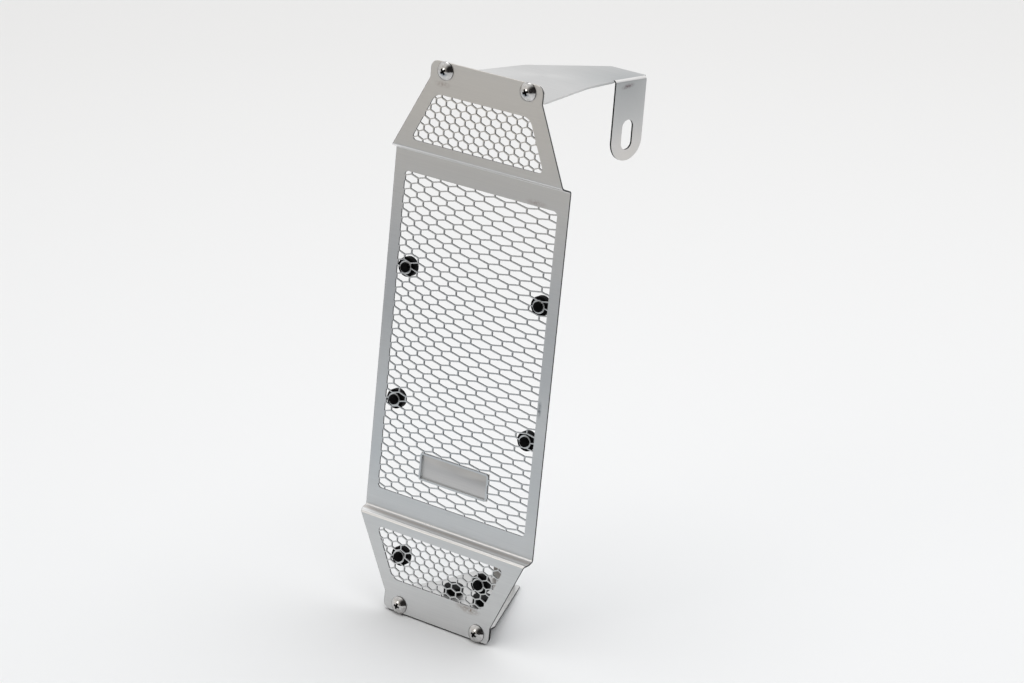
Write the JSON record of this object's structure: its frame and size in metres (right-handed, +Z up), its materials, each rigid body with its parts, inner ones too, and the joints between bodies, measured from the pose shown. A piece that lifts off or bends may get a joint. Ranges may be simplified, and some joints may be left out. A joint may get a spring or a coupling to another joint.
{
  "type": "oil_cooler_guard",
  "caption": "Tall mesh guard of folded sheet for an oil cooler, with an upper bracket that ends in a slotted tab, a lower bracket and rubber bumpers.",
  "frame": {"origin": "middle of the guard's width and depth, at the floor it rests on", "axes": "+Z up, the guard's long way; +X to the right seen from its front; -Y the side that meets the wind, +Y back towards the cooler"},
  "size_m": [0.1312, 0.1684, 0.3598],
  "materials": {
    "brushed_sheet": "fine satin, brushed along the sheet, light handling marks",
    "plate_sheet": "satin, brushed across",
    "bracket_sheet": "fine satin, clean cut edges",
    "screw_steel": "turned and tumbled, bright",
    "bumper_rubber": "moulded, matt with a slight sheen"
  },
  "bodies": {
    "root": {"guard_panel": "brushed_sheet", "name_plate": "plate_sheet", "upper_bracket": "bracket_sheet", "lower_bracket": "bracket_sheet", "screw_upper_left": "screw_steel", "screw_upper_right": "screw_steel", "screw_lower_left": "screw_steel", "screw_lower_right": "screw_steel", "nut_upper_left": "screw_steel", "nut_upper_right": "screw_steel", "nut_lower_left": "screw_steel", "nut_lower_right": "screw_steel", "bumper_upper_left": "bumper_rubber", "bumper_upper_right": "bumper_rubber", "bumper_lower_left": "bumper_rubber", "bumper_lower_right": "bumper_rubber", "bumper_foot_left": "bumper_rubber", "bumper_foot_right": "bumper_rubber", "bumper_base_left": "bumper_rubber", "bumper_base_right": "bumper_rubber"}
  },
  "joints": []
}
